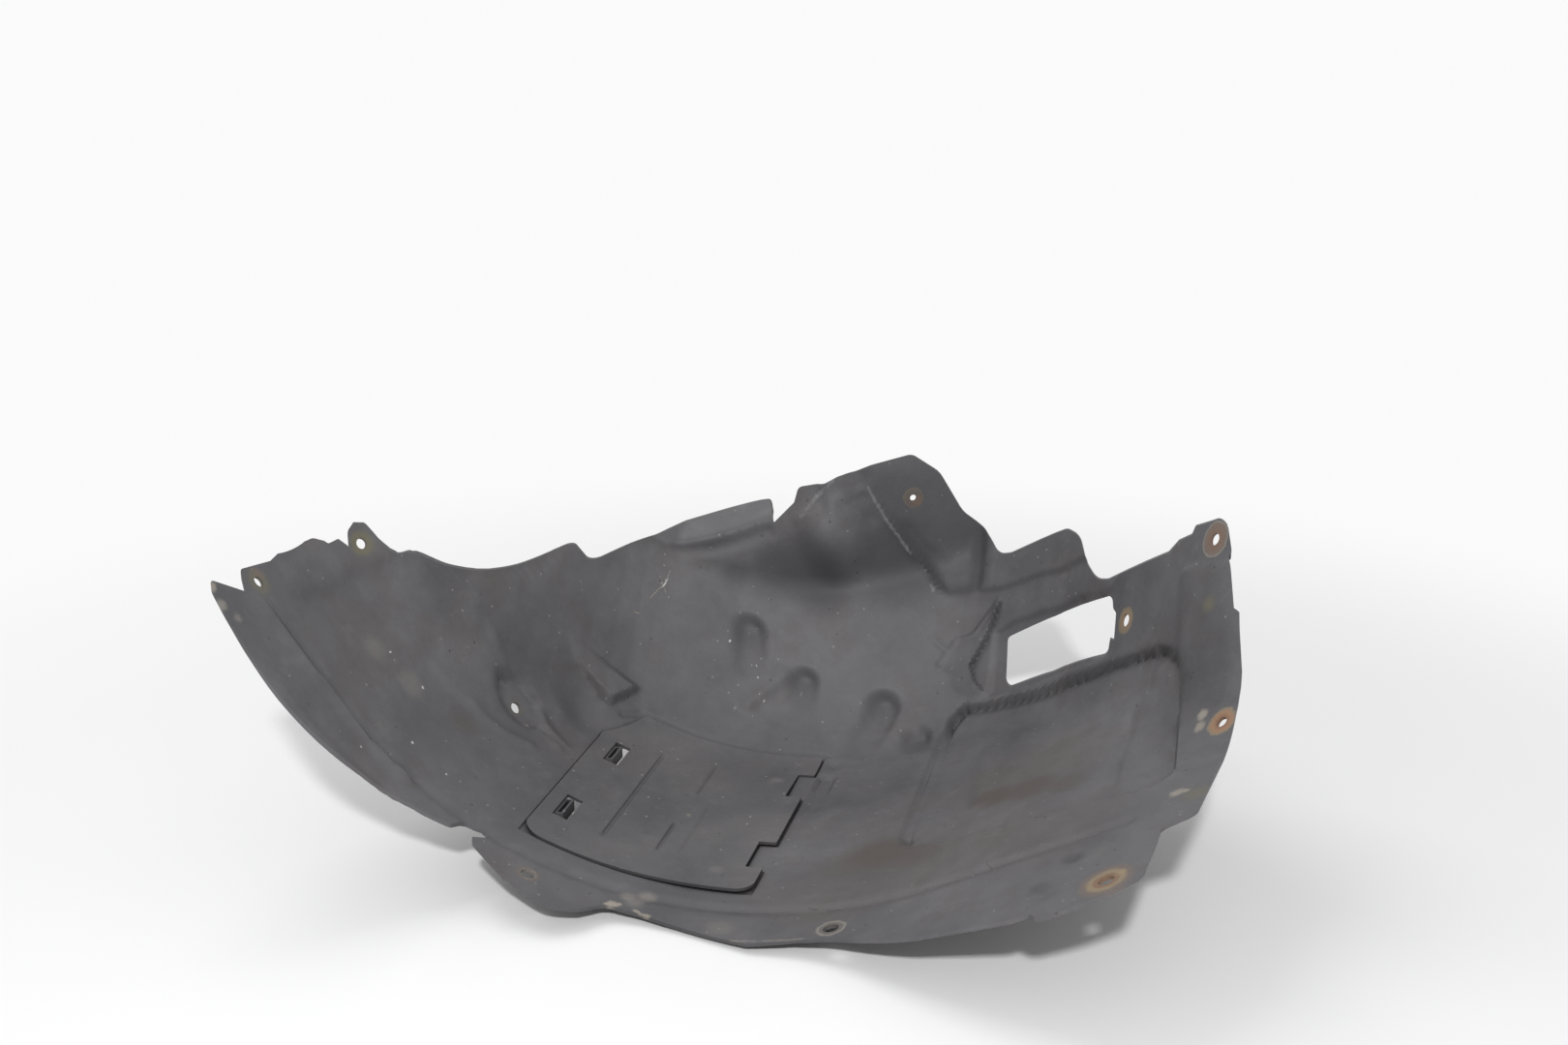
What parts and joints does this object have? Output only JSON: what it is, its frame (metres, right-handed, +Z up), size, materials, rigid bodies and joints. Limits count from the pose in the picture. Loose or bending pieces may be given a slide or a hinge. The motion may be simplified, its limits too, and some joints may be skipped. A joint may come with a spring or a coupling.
{
  "type": "wheel arch liner",
  "caption": "Moulded plastic wheel arch liner, a curved front section with a slanting inner wall, a duct opening and a snap-in access cover.",
  "frame": {"origin": "on the ground, under the middle of the whole", "axes": "+X along the car towards the liner's straight front end, +Y along the axle from the wing's lip to the inner wall, +Z up with the liner lying on its back"},
  "size_m": [0.623, 0.4809, 0.2279],
  "materials": {
    "liner_plastic": "grained black polypropylene, dusty and scuffed, with rust rings round the screw holes",
    "cover_plastic": "smoother black polypropylene, dusty"
  },
  "bodies": {
    "root": {"liner": "liner_plastic", "access_cover": "cover_plastic"}
  },
  "joints": []
}
